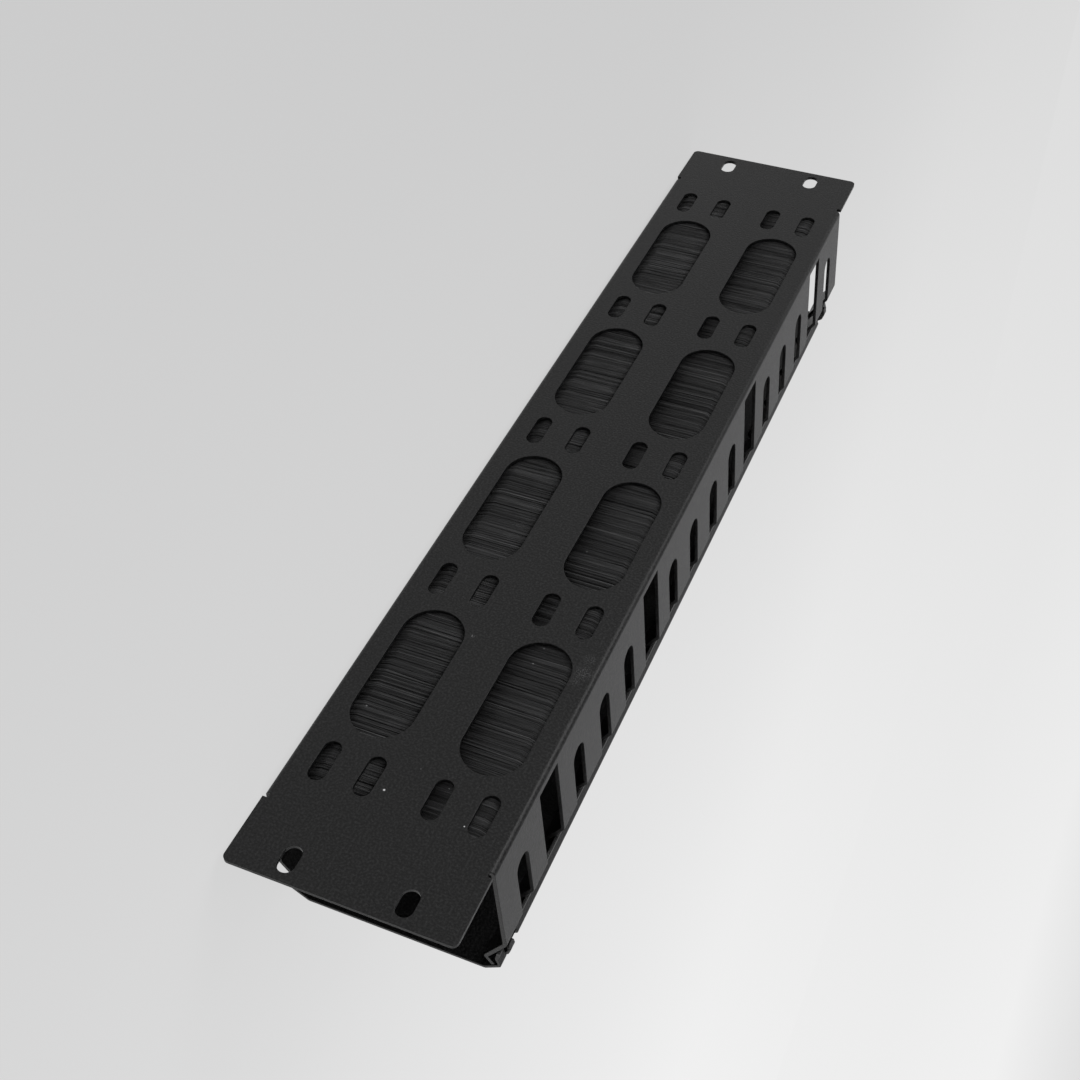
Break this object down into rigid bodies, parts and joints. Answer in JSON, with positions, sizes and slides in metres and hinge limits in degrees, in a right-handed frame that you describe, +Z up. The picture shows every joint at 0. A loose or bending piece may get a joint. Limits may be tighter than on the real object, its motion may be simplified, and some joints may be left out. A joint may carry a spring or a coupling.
{
  "type": "horizontal cable manager",
  "caption": "Two-unit rack cable duct folded from black sheet steel, with slotted finger walls, a brush-backed rear panel and a pull-off front cover.",
  "frame": {"origin": "middle of the four ear slots, on the rear face that meets the rack's rails", "axes": "+X along the rack to the right as seen from the front, +Y into the rack, +Z up; the cover faces -Y"},
  "size_m": [0.4826, 0.066, 0.0926],
  "materials": {
    "powder_coat": "fine-textured matt black powder coat",
    "brush_channel": "thin black lacquer on crimped steel strip",
    "core_wire": "drawn wire",
    "bristles": "black nylon filaments",
    "tape": "black foam tape"
  },
  "bodies": {
    "frame": {"panel_body": "powder_coat", "upper_brush_channel": "brush_channel", "upper_brush_core_wire": "core_wire", "upper_brush_bristles": "bristles", "upper_brush_tape": "tape", "lower_brush_channel": "brush_channel", "lower_brush_core_wire": "core_wire", "lower_brush_bristles": "bristles", "lower_brush_tape": "tape"},
    "cover": {"front_cover": "powder_coat"}
  },
  "joints": [
    {"name": "cover_pull", "type": "slide", "parent": "frame", "child": "cover", "axis": [0, -1, 0], "range_m": [0, 0.06]}
  ]
}
